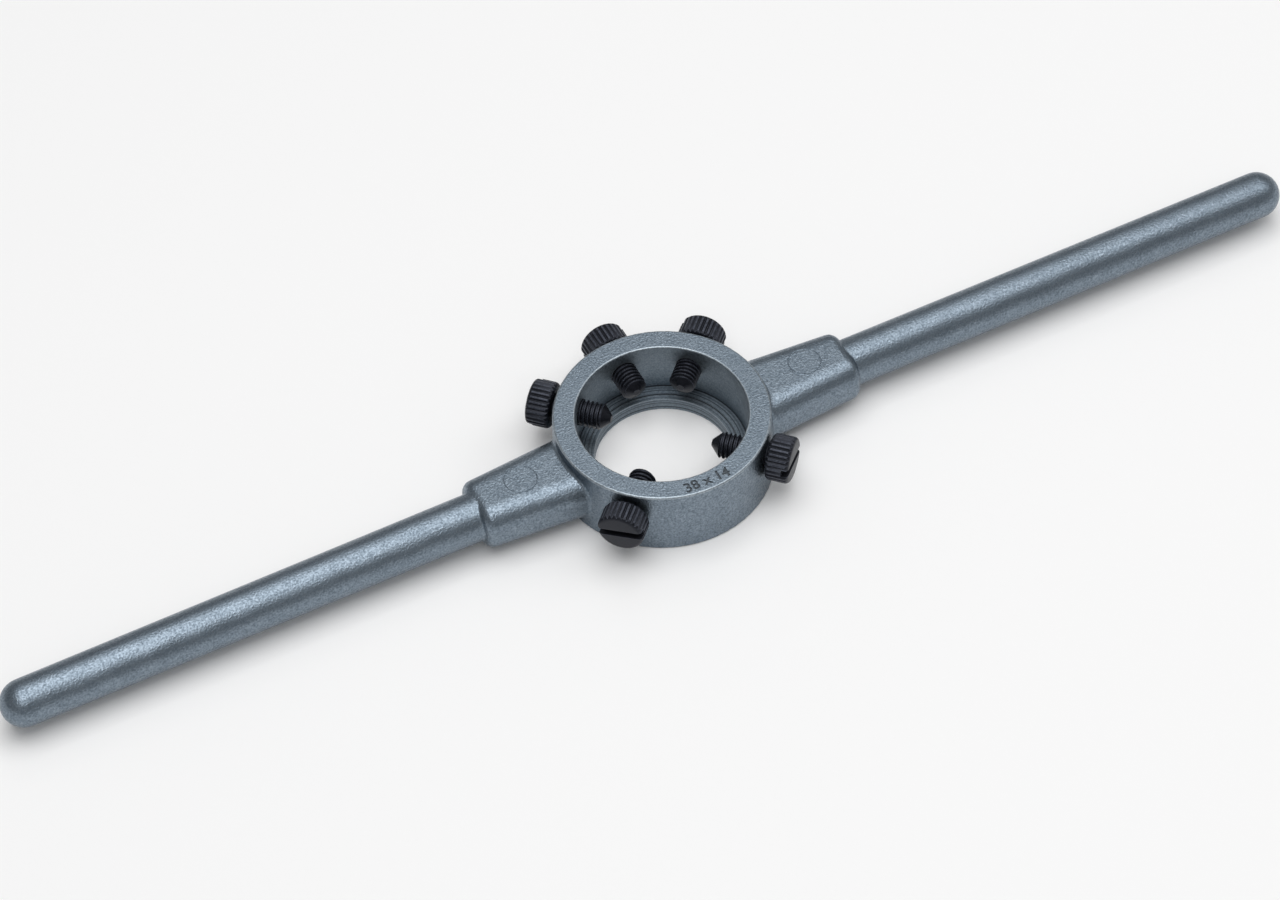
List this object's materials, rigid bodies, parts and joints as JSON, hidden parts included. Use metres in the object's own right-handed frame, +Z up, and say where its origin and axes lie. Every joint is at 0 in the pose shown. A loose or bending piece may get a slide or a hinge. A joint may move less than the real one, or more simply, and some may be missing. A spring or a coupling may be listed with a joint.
{
  "type": "die stock handle",
  "caption": "Die stock: a ring that seats a round threading die, knurled slotted thumb screws pointing into it, and a long round handle on a tapered boss at each side.",
  "frame": {"origin": "on the die's axis, at the underside of the ring", "axes": "+X along the handles, +Y towards the screw that spreads the die, +Z up the die's axis, out of the open mouth of the ring"},
  "size_m": [0.315, 0.0549, 0.0167],
  "materials": {
    "casting": "fine grained blue-grey cast metal with a dull metallic sheen",
    "blackened_steel": "black oxide on turned and knurled steel, lightly oiled"
  },
  "bodies": {
    "stock": {"stock_body": "casting"},
    "closing_screw_right": {"closing_screw_right": "blackened_steel"},
    "spreading_screw": {"spreading_screw": "blackened_steel"},
    "closing_screw_left": {"closing_screw_left": "blackened_steel"},
    "holding_screw_left": {"holding_screw_left": "blackened_steel"},
    "holding_screw_right": {"holding_screw_right": "blackened_steel"}
  },
  "joints": [
    {"name": "closing_screw_right_travel", "type": "slide", "parent": "stock", "child": "closing_screw_right", "axis": [0.7071, 0.7071, 0], "range_m": [-0.0007, 0.0063]},
    {"name": "spreading_screw_travel", "type": "slide", "parent": "stock", "child": "spreading_screw", "axis": [0, 1, 0], "range_m": [-0.0003, 0.0067]},
    {"name": "closing_screw_left_travel", "type": "slide", "parent": "stock", "child": "closing_screw_left", "axis": [-0.7071, 0.7071, 0], "range_m": [-0.0005, 0.0074]},
    {"name": "holding_screw_left_travel", "type": "slide", "parent": "stock", "child": "holding_screw_left", "axis": [-0.7071, -0.7071, 0], "range_m": [-0.0003, 0.0067]},
    {"name": "holding_screw_right_travel", "type": "slide", "parent": "stock", "child": "holding_screw_right", "axis": [0.7071, -0.7071, 0], "range_m": [-0.0002, 0.0077]}
  ]
}
